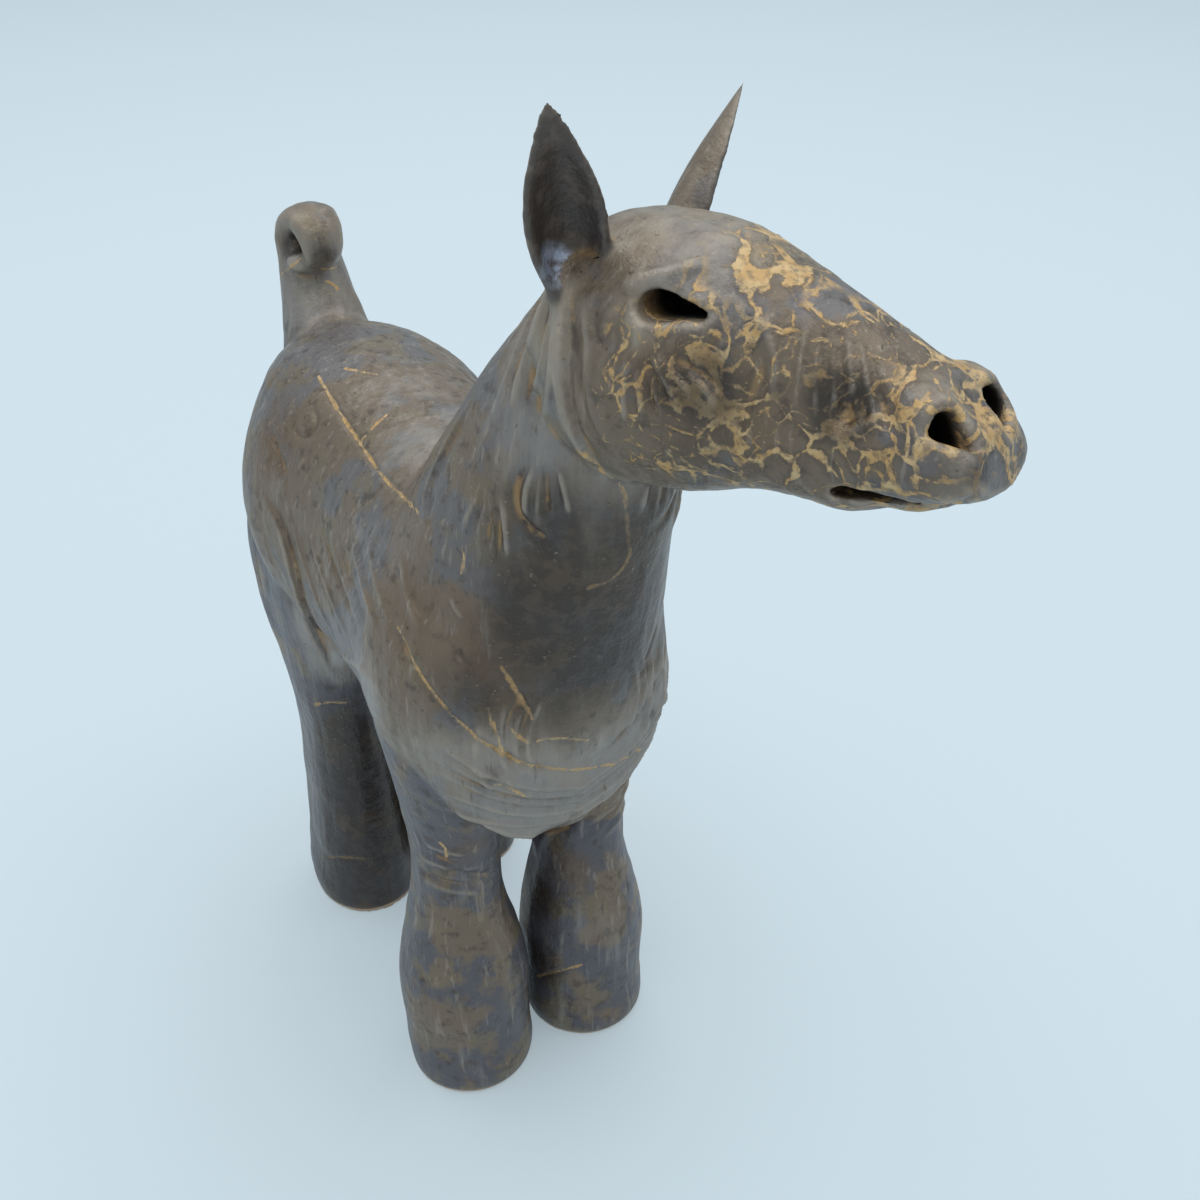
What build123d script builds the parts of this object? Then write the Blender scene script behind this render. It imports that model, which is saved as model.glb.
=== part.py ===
from build123d import *
import math
import os

# A hollow slab-built stoneware horse, as the clay pieces that it is luted together from.
# Millimetres, +X towards the chest, +Y to the horse's left, +Z up.
# The hooves stand on Z = 0, and the origin is under the middle of the overall box.

# Clay slabs
wall = 4.5
sole_thickness = 5.0
band_thickness = 2.5
band_height = 10.0
vent_bore = 14.0

# Trunk
trunk_length = 208.0
trunk_width = 100.0
trunk_depth = 130.0
belly_height = 130.0
back_seam_drop = 14.0

# Legs and hooves
stance_length = 112.0
stance_width = 52.5
front_leg_width = 49.0
front_leg_length = 48.0
hind_leg_width = 46.0
hind_leg_length = 54.0
hoof_height = 26.0
front_joint_height = 121.0
hind_joint_height = 110.0

# Neck
neck_base_back = 37.0
neck_base_lift = 18.0
neck_reach = 34.0
neck_sway = 10.0
neck_rise = 96.0
neck_width = 98.0
neck_thickness = 104.0
neck_base_tilt = 44.0
neck_top_tilt = 42.0

# Head
head_yaw = 21.0
head_tilt = 7.0
head_length = 120.0
head_width = 62.0
head_height = 63.0
head_set_back = 14.0
head_lift = 5.0
muzzle_plate_thickness = 6.0

# Eyes, nostrils and mouth
eye_length = 17.0
eye_opening = 7.0
eye_front_opening = 2.4
eyelid_width = 2.4
eyelid_thickness = 1.6
eye_along = 48.0
eye_lift = 21.0
nostril_length = 11.0
nostril_opening = 7.0
nostril_point = 2.0
nostril_spacing = 24.0
nostril_lift = 7.0
nostril_slant = 45.0
nostril_flare = 20.0
nostril_back = 5.0
nostril_depth = 18.0
mouth_drop = 14.5
mouth_length = 31.0
mouth_gap = 3.5

# Ears
ear_length = 53.0
ear_width = 21.0
ear_depth = 9.5
ear_wall = 2.4
ear_along = 20.5
ear_spread = 21.5
ear_root_lift = 13.0
ear_splay = 20.5
ear_lean = 1.0
ear_turn = 43.0

# Tail
tail_root_inset = 19.0
tail_root_lift = 39.0
tail_root_width = 42.0
tail_width = 24.0
tail_tip_width = 14.0
tail_thickness = 13.0
tail_tip_thickness = 7.5
tail_rise = 50.0
tail_lean = 18.0
tail_curl_radius = 10.5
tail_curl_turn = 222.0
tail_curl_tightening = 3.5

# Shape of the trunk: share of its length from rump to chest, then half width, rise and drop
# as shares of half the trunk's width and depth
TRUNK_SHAPE = (
    (0.000, 0.29, 0.45, 0.12),
    (0.030, 0.54, 0.74, 0.41),
    (0.090, 0.79, 0.94, 0.67),
    (0.210, 1.00, 1.03, 0.86),
    (0.380, 0.92, 1.00, 0.95),
    (0.540, 0.90, 0.95, 1.00),
    (0.700, 0.97, 0.97, 1.00),
    (0.840, 0.99, 0.95, 0.98),
    (0.940, 0.80, 0.80, 0.86),
    (0.985, 0.57, 0.50, 0.55),
    (1.000, 0.30, 0.22, 0.27),
)
# Shape of a leg: height as a share of the belly height, then width, length and forward shift
# as shares of the leg's width and length
FRONT_LEG_SHAPE = (
    (0.00, 0.97, 0.97, 0.00),
    (0.12, 1.00, 1.04, -0.02),
    (0.36, 1.00, 1.07, -0.03),
    (0.54, 0.84, 0.98, -0.03),
    (0.70, 0.67, 0.80, -0.03),
    (0.84, 0.64, 0.74, -0.01),
    (1.00, 0.71, 0.84, 0.02),
    (1.18, 0.84, 1.06, 0.04),
    (1.40, 0.90, 1.25, 0.06),
    (1.60, 0.80, 1.20, 0.06),
)
HIND_LEG_SHAPE = (
    (0.00, 0.95, 0.96, 0.04),
    (0.12, 0.98, 1.00, 0.02),
    (0.30, 0.87, 0.98, 0.02),
    (0.54, 0.78, 0.92, 0.02),
    (0.77, 0.75, 0.90, 0.02),
    (0.88, 0.80, 0.94, 0.01),
    (1.08, 0.90, 1.20, -0.06),
    (1.31, 0.95, 1.42, -0.09),
    (1.52, 0.82, 1.28, -0.06),
    (1.70, 0.60, 0.96, -0.02),
)
# Shape of the neck: share of its axis, then half width, crest and throat as shares of half
# the neck's width and thickness
NECK_SHAPE = (
    (0.00, 0.94, 1.03, 1.00),
    (0.25, 0.80, 0.91, 0.89),
    (0.50, 0.68, 0.79, 0.77),
    (0.75, 0.55, 0.65, 0.66),
    (1.00, 0.42, 0.48, 0.52),
)
# Shape of the head: share of its length from nape to nose, then half width, rise and drop
# as shares of half the head's width and height, and how far the section faces down in degrees
HEAD_SHAPE = (
    (0.000, 0.36, 0.45, 0.35, 0.0),
    (0.030, 0.62, 0.76, 0.62, 0.0),
    (0.090, 0.84, 1.00, 0.86, 0.0),
    (0.200, 1.00, 1.17, 1.00, 0.0),
    (0.360, 0.97, 1.21, 0.97, 0.0),
    (0.490, 0.84, 1.11, 0.83, 0.0),
    (0.640, 0.69, 0.91, 0.71, 0.0),
    (0.780, 0.62, 0.69, 0.63, 0.0),
    (0.890, 0.63, 0.53, 0.57, 3.0),
    (0.955, 0.61, 0.45, 0.56, 4.0),
    (1.000, 0.48, 0.31, 0.44, 4.0),
)
# Shape of an ear: share of its length from root to tip, then width and cupping as shares of
# the ear's width and depth
EAR_SHAPE = (
    (0.00, 0.40, 0.90),
    (0.16, 0.70, 1.10),
    (0.42, 0.97, 1.00),
    (0.66, 0.81, 0.68),
    (0.85, 0.48, 0.34),
    (1.00, 0.14, 0.10),
)
# Shape of the tail's stem: share of its height, then how far it has gone from the root's
# round section to the curl's flat one
TAIL_STEM_SHAPE = (
    (0.00, 0.00),
    (0.35, 0.50),
    (0.70, 0.85),
    (1.00, 1.00),
)
TAIL_CURL_STEPS = 7
SECTION_POINTS = 8

# Places worked out from the sizes
trunk_centre = belly_height + trunk_depth / 2
foot_y = stance_width / 2
neck_base = Vector(trunk_length / 2 - neck_base_back, 0, trunk_centre + neck_base_lift)
neck_top = neck_base + Vector(neck_reach, neck_sway, neck_rise)
yaw = math.radians(head_yaw)
up = Vector(0, 0, 1)
tilt = math.radians(head_tilt)
head_forward = Vector(math.cos(yaw), math.sin(yaw), 0)
level_left = Vector(-math.sin(yaw), math.cos(yaw), 0)
head_left = math.cos(tilt) * level_left - math.sin(tilt) * up
head_up = math.cos(tilt) * up + math.sin(tilt) * level_left
head_origin = neck_top - head_set_back * head_forward + head_lift * head_up
tail_root = Vector(tail_root_inset - trunk_length / 2, 0, trunk_centre + tail_root_lift)
least_span = wall / 4
reach = trunk_length + neck_reach + head_length


def egg(plane, half_width, rise, drop):
    """A closed rounded outline on a plane: half_width along its X, rise and drop along its Y."""
    points = []
    for i in range(SECTION_POINTS):
        angle = 2 * math.pi * (i + 0.5) / SECTION_POINTS
        height = rise if math.sin(angle) > 0 else drop
        points.append((half_width * math.cos(angle), height * math.sin(angle)))
    return plane * make_face(Spline(points, periodic=True))


def inset_egg(plane, half_width, rise, drop, inset):
    """The same outline moved in by inset, and never drawn in to nothing."""
    spans = [max(span - inset, least_span) for span in (half_width, rise, drop)]
    return egg(plane, *spans)


def trunk_form(inset):
    """The trunk as one solid, with its surface moved in by inset."""
    sections = []
    for along, width, rise, drop in TRUNK_SHAPE:
        x = (along - 0.5) * (trunk_length - 2 * inset)
        plane = Plane(origin=(x, 0, trunk_centre), x_dir=(0, 1, 0), z_dir=(1, 0, 0))
        half_depth = trunk_depth / 2
        sections.append(
            inset_egg(plane, width * trunk_width / 2, rise * half_depth, drop * half_depth, inset)
        )
    return loft(sections)


def foot_x(end):
    """How far forward of the middle of the stance a pair of feet stands."""
    return stance_length / 2 if end == "front" else -stance_length / 2


def leg_form(end, inset):
    """A left leg with its hoof and shoulder as one solid, with its sides moved in by inset."""
    front = end == "front"
    shape = FRONT_LEG_SHAPE if front else HIND_LEG_SHAPE
    leg_width = front_leg_width if front else hind_leg_width
    leg_length = front_leg_length if front else hind_leg_length
    sections = []
    for height, width, length, shift in shape:
        centre = Vector(foot_x(end) + shift * leg_length, foot_y, height * belly_height)
        plane = Plane(origin=centre, x_dir=(0, 1, 0), z_dir=(0, 0, 1))
        half_length = length * leg_length / 2
        sections.append(inset_egg(plane, width * leg_width / 2, half_length, half_length, inset))
    return loft(sections)


def neck_facing(along):
    """The way that the neck's cross section faces at a share of its axis."""
    lean = math.radians(neck_base_tilt + along * (neck_top_tilt - neck_base_tilt))
    return Vector(math.sin(lean), 0, math.cos(lean))


def neck_form(inset):
    """The neck and breast as one solid, with its sides moved in by inset."""
    sections = []
    for along, width, crest, throat in NECK_SHAPE:
        centre = neck_base + along * (neck_top - neck_base)
        plane = Plane(origin=centre, x_dir=(0, 1, 0), z_dir=neck_facing(along))
        half = neck_thickness / 2
        sections.append(inset_egg(plane, width * neck_width / 2, crest * half, throat * half, inset))
    return loft(sections)


def head_point(along, across, lift):
    """A place given along the head from nape to nose, across to its left and up from its axis."""
    return head_origin + along * head_forward + across * head_left + lift * head_up


def head_form(inset):
    """The head as one solid, with its surface moved in by inset."""
    sections = []
    for along, width, rise, drop, lean in HEAD_SHAPE:
        centre = head_point(inset + along * (head_length - 2 * inset), 0, 0)
        droop = math.radians(lean)
        facing = math.cos(droop) * head_forward - math.sin(droop) * head_up
        plane = Plane(origin=centre, x_dir=head_left, z_dir=facing)
        half = head_height / 2
        sections.append(inset_egg(plane, width * head_width / 2, rise * half, drop * half, inset))
    return loft(sections)


def ear_form(side):
    """A leaf of clay cupped forwards and outwards, rooted below the head's surface."""
    sign = 1 if side == "left" else -1
    outward = sign * head_left
    splay = math.tan(math.radians(ear_splay))
    lean = math.tan(math.radians(ear_lean))
    axis = (head_up + splay * outward + lean * head_forward).normalized()
    turn = math.radians(ear_turn)
    facing = math.cos(turn) * head_forward + math.sin(turn) * outward
    across = facing.cross(axis).normalized()
    root = head_point(ear_along, sign * ear_spread, ear_root_lift)
    sections = []
    for along, width, cup in EAR_SHAPE:
        plane = Plane(origin=root + along * ear_length * axis, x_dir=across, z_dir=axis)
        half = width * ear_width / 2
        depth = cup * ear_depth
        thickness = min(ear_wall, half / 2)
        back = ThreePointArc((half, 0), (0, -depth), (-half, 0))
        near_edge = Line((-half, 0), (thickness - half, 0))
        cup_face = ThreePointArc((thickness - half, 0), (0, thickness - depth), (half - thickness, 0))
        far_edge = Line((half - thickness, 0), (half, 0))
        sections.append(plane * make_face([back, near_edge, cup_face, far_edge]))
    return loft(sections)


def tail_stem():
    """The outlines of the tail's stem, from its root in the croup up to its curl."""
    stem_top = tail_root + Vector(-tail_lean, 0, tail_rise)
    stem = (stem_top - tail_root).normalized()
    sections = []
    for along, taper in TAIL_STEM_SHAPE:
        half_width = (tail_root_width + taper * (tail_width - tail_root_width)) / 2
        half_depth = (tail_root_width + taper * (tail_thickness - tail_root_width)) / 2
        heading = stem if along < 1 else up
        plane = Plane(origin=tail_root + along * (stem_top - tail_root), x_dir=(0, 1, 0), z_dir=heading)
        sections.append(egg(plane, half_width, half_depth, half_depth))
    return sections


def tail_curl():
    """The outlines of the strap that rolls forwards from the top of the tail's stem."""
    curl_centre = tail_root + Vector(tail_curl_radius - tail_lean, 0, tail_rise)
    sections = []
    for step in range(1, TAIL_CURL_STEPS + 1):
        share = step / TAIL_CURL_STEPS
        turn = math.radians(180 - tail_curl_turn * share)
        radius = tail_curl_radius - tail_curl_tightening * share
        centre = curl_centre + radius * Vector(math.cos(turn), 0, math.sin(turn))
        heading = Vector(math.sin(turn), 0, -math.cos(turn))
        plane = Plane(origin=centre, x_dir=(0, 1, 0), z_dir=heading)
        half_width = (tail_width + share * (tail_tip_width - tail_width)) / 2
        half_depth = (tail_thickness + share * (tail_tip_thickness - tail_thickness)) / 2
        sections.append(egg(plane, half_width, half_depth, half_depth))
    return sections


def teardrop(round_width, point_width, length):
    """A flat teardrop, round at -X and narrowing to +X, centred on its length."""
    round_end = Pos(-(length - round_width) / 2, 0) * Circle(round_width / 2)
    point_end = Pos((length - point_width) / 2, 0) * Circle(point_width / 2)
    return make_hull(round_end.edges() + point_end.edges())


def eye_prism(side, margin):
    """The eye opening, grown by margin, run from the head's middle out through one cheek."""
    outward = head_left if side == "left" else -head_left
    plane = Plane(origin=head_point(eye_along, 0, eye_lift), x_dir=head_forward, z_dir=outward)
    grown = 2 * margin
    outline = teardrop(eye_opening + grown, eye_front_opening + grown, eye_length + grown)
    return extrude(plane * outline, amount=head_width)


def nostril_prism(side):
    """A nostril run back through the muzzle plate, its point turned in and down."""
    outward = head_left if side == "left" else -head_left
    slant = math.radians(nostril_slant)
    flare = math.radians(nostril_flare)
    facing = math.cos(flare) * head_forward + math.sin(flare) * outward
    inward = math.sin(flare) * head_forward - math.cos(flare) * outward
    point_way = math.cos(slant) * inward - math.sin(slant) * head_up
    side_way = nostril_spacing / 2 if side == "left" else -nostril_spacing / 2
    centre = head_point(head_length - nostril_back, side_way, nostril_lift)
    plane = Plane(origin=centre, x_dir=point_way, z_dir=facing)
    outline = teardrop(nostril_opening, nostril_point, nostril_length)
    return extrude(plane * outline, amount=nostril_depth, both=True)


def mouth_prism():
    """The gap between the lips: an arch at the corners that closes towards the nose."""
    corner = head_point(head_length - mouth_length, 0, -mouth_drop)
    plane = Plane(origin=corner, x_dir=head_forward, z_dir=-head_left)
    outline = Polyline(
        (0, 0),
        (mouth_length * 0.12, mouth_gap),
        (mouth_length * 0.35, mouth_gap * 0.8),
        (mouth_length, mouth_gap * 0.2),
        (mouth_length, 0),
        close=True,
    )
    return extrude(plane * make_face(outline), amount=head_width, both=True)


def jaw_block():
    """Everything below and in front of the corners of the mouth."""
    corner = head_point(head_length - mouth_length, 0, -mouth_drop)
    plane = Plane(origin=corner, x_dir=head_forward, z_dir=head_up)
    return plane * Box(reach, reach, reach, align=(Align.MIN, Align.CENTER, Align.MAX))


def level_block(base, thickness):
    """A level block standing on a height, wider than the whole horse."""
    align = (Align.CENTER, Align.CENTER, Align.MIN)
    return Pos(0, 0, base) * Box(2 * reach, 2 * reach, thickness, align=align)


def on_side(piece, side):
    """A piece made for the left, or its mirror image for the right."""
    return piece if side == "left" else mirror(piece, about=Plane.XZ)


def half_space(origin, way):
    """A block that fills everything on one side of a plane."""
    plane = Plane(origin=origin, z_dir=way)
    return plane * Box(4 * reach, 4 * reach, 2 * reach, align=(Align.CENTER, Align.CENTER, Align.MIN))


# Whole forms, solid and hollow
trunk = trunk_form(0)
trunk_hollow = trunk_form(wall)
neck = neck_form(0)
neck_hollow = neck_form(wall)
head = head_form(0)
head_hollow = head_form(wall)
pieces = {}

# Legs: hoof, sole, leg and shoulder or haunch, with a band of clay inside each seam
soles = []
hoof_bands = []
leg_bands = []
vents = []
for end in ("front", "hind"):
    joint_height = front_joint_height if end == "front" else hind_joint_height
    upper_name = "shoulder" if end == "front" else "haunch"
    leg = leg_form(end, 0)
    hollow = leg_form(end, wall)
    lining = leg_form(end, wall + band_thickness)
    tube = leg - hollow
    hoof_band = (hollow & level_block(hoof_height - band_height / 2, band_height)) - lining
    leg_band = (hollow & level_block(joint_height - band_height / 2, band_height)) - lining
    sole = hollow & level_block(0, sole_thickness)
    vent = Pos(foot_x(end), foot_y, belly_height) * Cylinder(vent_bore / 2, trunk_depth)
    sections = {
        "hoof": tube & level_block(0, hoof_height),
        "leg": tube & level_block(hoof_height, joint_height - hoof_height),
        upper_name: tube & level_block(joint_height, trunk_centre),
    }
    for side in ("left", "right"):
        for name, section in sections.items():
            pieces[f"{end}_{side}_{name}"] = on_side(section, side) - trunk
        soles.append(on_side(sole, side))
        hoof_bands.append(on_side(hoof_band, side))
        leg_bands.append(on_side(leg_band, side) - trunk)
        vents.append(on_side(vent, side))
pieces["hoof_soles"] = Compound(soles)
pieces["hoof_seam_bands"] = Compound(hoof_bands)
pieces["leg_seam_bands"] = Compound(leg_bands)

# Trunk: a back slab on a belly slab, open to the neck and to each leg
trunk_shell = trunk - [trunk_hollow, neck_hollow, *vents]
breast_space = half_space(neck_base, neck_facing(0))
body_shell = trunk_shell - breast_space
seam_height = trunk_centre + trunk_depth / 2 - back_seam_drop
pieces["back_shell"] = body_shell & half_space((0, 0, seam_height), up)
pieces["belly_shell"] = body_shell & half_space((0, 0, seam_height), -up)

# Neck and breast: two slabs meeting along the crest and the throat
neck_tube = (neck - [neck_hollow, trunk, head]) + (trunk_shell & breast_space)
seam_way = (neck_top - neck_base).cross(Vector(1, 0, 0)).normalized()
pieces["neck_left_slab"] = neck_tube & half_space(neck_base, seam_way)
pieces["neck_right_slab"] = neck_tube & half_space(neck_base, -seam_way)

# Head: skull, muzzle plate and lower jaw, with the eyes, nostrils and mouth cut through
head_shell = head - [head_hollow, neck_hollow]
for side in ("left", "right"):
    head_shell = head_shell - [eye_prism(side, 0), nostril_prism(side)]
jaw = jaw_block()
plate_back = head_point(head_length - muzzle_plate_thickness, 0, 0)
plate_space = half_space(plate_back, head_forward)
upper_shell = head_shell - jaw - mouth_prism()
pieces["lower_jaw"] = head_shell & jaw
pieces["muzzle_plate"] = upper_shell & plate_space
pieces["skull_shell"] = upper_shell - plate_space

# Eyelids and ears, set on the skull
lid_surface = head_form(-eyelid_thickness)
for side in ("left", "right"):
    lid_ring = eye_prism(side, eyelid_width) - eye_prism(side, 0)
    pieces[f"{side}_eyelid"] = (lid_ring & lid_surface) - head
    pieces[f"{side}_ear"] = ear_form(side) - head

# Tail: a stem set on the croup, rolled over at its end
stem_sections = tail_stem()
curl_sections = [stem_sections[-1], *tail_curl()]
pieces["tail"] = (loft(stem_sections) - trunk) + loft(curl_sections)

# Shift to the middle of the overall box and write each piece
boxes = {name: piece.bounding_box() for name, piece in pieces.items()}
low = Vector(*(min(tuple(box.min)[i] for box in boxes.values()) for i in range(3)))
high = Vector(*(max(tuple(box.max)[i] for box in boxes.values()) for i in range(3)))
shift = Pos(-(low.X + high.X) / 2, -(low.Y + high.Y) / 2, -low.Z)
os.makedirs("parts", exist_ok=True)
for name, piece in pieces.items():
    solids = piece.solids()
    size = boxes[name].size
    print(f"{name}: {len(solids)} solid, {size.X:.1f} x {size.Y:.1f} x {size.Z:.1f} mm")
    export_step(shift * Compound(solids), f"parts/{name}.step")
print(f"overall: {high.X - low.X:.1f} x {high.Y - low.Y:.1f} x {high.Z - low.Z:.1f} mm")
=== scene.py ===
"""A slab-built stoneware horse: one hand-modelled, glazed clay skin laid over the CAD pieces and cut up
again along their seams, on a pale studio floor. Metres, +X towards the chest, +Y to the horse's left."""
import math

import bpy
import numpy as np
import openvdb
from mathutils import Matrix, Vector
from mathutils.bvhtree import BVHTree


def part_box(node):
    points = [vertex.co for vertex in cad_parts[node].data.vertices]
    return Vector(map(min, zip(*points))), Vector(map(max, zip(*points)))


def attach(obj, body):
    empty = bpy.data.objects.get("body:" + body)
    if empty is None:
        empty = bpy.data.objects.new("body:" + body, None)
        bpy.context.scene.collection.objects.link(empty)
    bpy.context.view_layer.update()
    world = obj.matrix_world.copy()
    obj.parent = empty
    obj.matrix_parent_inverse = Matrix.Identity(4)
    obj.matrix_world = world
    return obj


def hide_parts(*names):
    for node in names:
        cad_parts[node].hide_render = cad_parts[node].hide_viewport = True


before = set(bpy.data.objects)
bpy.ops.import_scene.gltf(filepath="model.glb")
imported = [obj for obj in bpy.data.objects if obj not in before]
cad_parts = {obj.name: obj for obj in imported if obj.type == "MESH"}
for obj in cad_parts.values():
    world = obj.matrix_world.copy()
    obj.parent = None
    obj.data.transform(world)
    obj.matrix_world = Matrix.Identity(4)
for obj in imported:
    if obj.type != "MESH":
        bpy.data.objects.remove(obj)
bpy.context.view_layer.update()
MM = 0.001
SIDES = ("left", "right")

# Clay skin
VOXEL = 1.0 * MM
BAND_VOXELS = 9
SKIN_WALL = 3.4 * MM
THIN_WALL = 1.2 * MM
THIN_SHARE = 0.3
THIN_NODES = ("left_eyelid", "right_eyelid", "lower_jaw", "muzzle_plate")
INSIDE_NODES = ("hoof_seam_bands", "leg_seam_bands")
CAPPED_NODES = ("left_ear", "right_ear", "tail")

# Head, as the CAD sets it: turned to the horse's left and rolled down on that side
HEAD_YAW = math.radians(21)
HEAD_TILT = math.radians(7)
EYE_ALONG = 48.0 * MM
EYE_LIFT = 21.0 * MM
HEAD_LENGTH = 120.0 * MM

# Openings in the head
EYE_LENGTH = 17.0 * MM
EYE_ROUND = 7.0 * MM
EYE_POINT = 2.2 * MM
EYE_DEPTH = 15.0 * MM
NOSTRIL_ROUND = 7.8 * MM
NOSTRIL_POINT = 1.8 * MM
NOSTRIL_DEPTH = 13.0 * MM
NOSTRILS = {
    "left": {
        "along": 113.5, "across": 8.0, "lift": 7.6,
        "facing": (0.80, -0.25, 0.55), "slant": 70, "length": 12.3,
    },
    "right": {
        "along": 111.5, "across": -12.0, "lift": 7.0,
        "facing": (0.80, -0.34, 0.40), "slant": 55, "length": 10.6,
    },
}
PIT_EDGE = 0.6 * MM
PIT_FROM = 1.0 * MM
PIT_FULL = 9.0 * MM
NOSTRIL_PIT_START = 3.0 * MM
NOSTRIL_PIT_FACTOR = 2

# Muzzle
NOSE_LEAN = 0.45
NOSE_PIVOT = 2.5 * MM
NOSE_MOST_BACK = 4.0 * MM
NOSE_MOST_AHEAD = 3.5 * MM
NOSE_LEAN_FROM = 92.0 * MM
NOSE_LEAN_FULL = 116.0 * MM
JAW_RISE = 14.6 * MM
JAW_RISE_LENGTH = 32.0 * MM
JAW_RISE_POWER = 3.0
JAW_DEPTH = 12.0 * MM
JAW_NOTCH = 1.6 * MM
JAW_NOTCH_ALONG = 101.0 * MM
JAW_NOTCH_WIDTH = 5.0 * MM
WING_BACK = 13.0 * MM
WING_SPACING = 21.5 * MM
WING_LIFT = 7.0 * MM
WING_REACH = 24.0 * MM
WING_RADII = np.array((11.0, 7.0, 9.0)) * MM
SADDLE_AHEAD = 6.0 * MM
SADDLE_LIFT = 24.0 * MM
SADDLE_RADIUS = 18.0 * MM
MOUTH_DROP = 14.5 * MM
MOUTH_LENGTH = 31.0 * MM
MOUTH_GAP = 4.0 * MM
MOUTH_LIFT = 0.8 * MM
MOUTH_RISE = 7.5 * MM
MOUTH_RISE_POWER = 1.6
MOUTH_OPENS_IN = 0.12
MOUTH_CLOSED_AT = 0.85
LIP_SWELL = 0.8 * MM
MOUTH_CORE = 6.0 * MM

# Clay inside the head, which closes the openings of the CAD
EYE_PLUG_DEPTH = 3.9 * MM
EYE_PLUG_RADII = np.array((11.0, 7.0, 1.3)) * MM
NOSE_PLUG_BACK = 15.0 * MM
NOSE_PLUG_RADII = np.array((13.5, 17.5, 14.5)) * MM
LIP_PLUG_BACK = 24.0 * MM
LIP_PLUG_DROP = 8.0 * MM
LIP_PLUG_RADII = np.array((20.0, 15.5, 10.0)) * MM

# Creases that are smoothed, in millimetres from the middle of the stance
NECK_ROOT = (30, 0, 235)
TAIL_ROOT = (-80, 0, 245)
LEG_ROOTS = [(x, y, 135) for x in (56, -56) for y in (26, -26)]

# Roll at the end of the tail
CURL_FROM_BACK = 17.0 * MM
CURL_FROM_TOP = 14.5 * MM
CURL_BRIDGE_RADII = np.array((7.0, 9.0, 4.5)) * MM
CURL_BRIDGE_PLACE = np.array((0.5, -2.0, -6.0)) * MM

# Camera, fitted to the photograph
PHOTO_SIZE = 1200
FOCAL_PIXELS = 1300
CAMERA_PITCH = math.radians(34.6)
CAMERA_AZIMUTH = math.radians(58.8)
CAMERA_PLACE = Vector((369, -155, 450)) * MM


# Places on the horse

def vec(v):
    """A numpy point from any three numbers."""
    return np.array(tuple(v), float)


def unit(vectors):
    """The same directions with length 1."""
    return vectors / np.maximum(np.linalg.norm(vectors, axis=-1, keepdims=True), 1e-12)


def distance_from(middle, places):
    """How far places lie from a middle."""
    return np.linalg.norm(places - middle, axis=-1)


def node_points(name):
    """The vertices of a CAD node."""
    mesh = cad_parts[name].data
    points = np.empty(len(mesh.vertices) * 3, np.float32)
    mesh.vertices.foreach_get("co", points)
    return points.reshape(-1, 3).astype(float)


HOOVES = [f"{end}_{side}_hoof" for end in ("front", "hind") for side in SIDES]
feet = np.mean([(vec(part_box(name)[0]) + vec(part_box(name)[1])) / 2 for name in HOOVES], axis=0)
feet[2] = 0.0

UP = np.array((0.0, 0.0, 1.0))
head_forward = np.array((math.cos(HEAD_YAW), math.sin(HEAD_YAW), 0.0))
level_left = np.array((-math.sin(HEAD_YAW), math.cos(HEAD_YAW), 0.0))
head_left = math.cos(HEAD_TILT) * level_left - math.sin(HEAD_TILT) * UP
head_up = math.cos(HEAD_TILT) * UP + math.sin(HEAD_TILT) * level_left


def middle_along(points, way):
    """Halfway between the two ends of some points along a direction."""
    reach = points @ way
    return (reach.min() + reach.max()) / 2


both_lids = np.concatenate([node_points("left_eyelid"), node_points("right_eyelid")])
head_origin = (
    (middle_along(both_lids, head_forward) - EYE_ALONG) * head_forward
    + middle_along(both_lids, head_left) * head_left
    + (middle_along(both_lids, head_up) - EYE_LIFT) * head_up
)


def head_place(along, across, lift):
    """A place given along the head from nape to nose, across to its left and up from its axis."""
    return head_origin + along * head_forward + across * head_left + lift * head_up


def body_place(x, y, z):
    """A place in millimetres from the middle of the stance, on the ground."""
    return feet + np.array((x, y, z)) * MM


look = Vector((
    -math.sin(CAMERA_AZIMUTH) * math.cos(CAMERA_PITCH),
    math.cos(CAMERA_AZIMUTH) * math.cos(CAMERA_PITCH),
    -math.sin(CAMERA_PITCH),
))
eye_point = Vector(feet) + CAMERA_PLACE


# Clay skin: the CAD pieces as one volume

def ellipsoid(centre, axes, radii, rings=12, sides=24):
    """Points and triangles of an ellipsoid with its radii along three directions."""
    points = []
    for ring in range(rings + 1):
        polar = math.pi * ring / rings
        for side in range(sides):
            turn = 2 * math.pi * side / sides
            shares = (math.sin(polar) * math.cos(turn), math.sin(polar) * math.sin(turn), math.cos(polar))
            points.append(centre + sum(s * r * a for s, r, a in zip(shares, radii, axes)))
    triangles = []
    for ring in range(rings):
        for side in range(sides):
            a = ring * sides + side
            b = ring * sides + (side + 1) % sides
            triangles.append((a, a + sides, b))
            triangles.append((b, a + sides, b + sides))
    return np.array(points), np.array(triangles)


def eye_plug(side):
    """A disc of clay inside the wall behind one eye, so that the volume has no way in."""
    lid = node_points(f"{side}_eyelid")
    centre = lid.mean(axis=0)
    axes = np.linalg.svd(lid - centre, full_matrices=False)[2]
    outward = axes[2] if axes[2] @ (centre - head_place(EYE_ALONG, 0, 0)) > 0 else -axes[2]
    return ellipsoid(centre - EYE_PLUG_DEPTH * outward, axes, EYE_PLUG_RADII)


def muzzle_plugs():
    """Two lumps of clay that fill the muzzle behind the nostrils and the lips."""
    axes = (head_forward, head_left, head_up)
    nose = head_place(HEAD_LENGTH - NOSE_PLUG_BACK, 0, 0)
    lips = head_place(HEAD_LENGTH - LIP_PLUG_BACK, 0, -LIP_PLUG_DROP)
    return [ellipsoid(nose, axes, NOSE_PLUG_RADII), ellipsoid(lips, axes, LIP_PLUG_RADII)]


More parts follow.
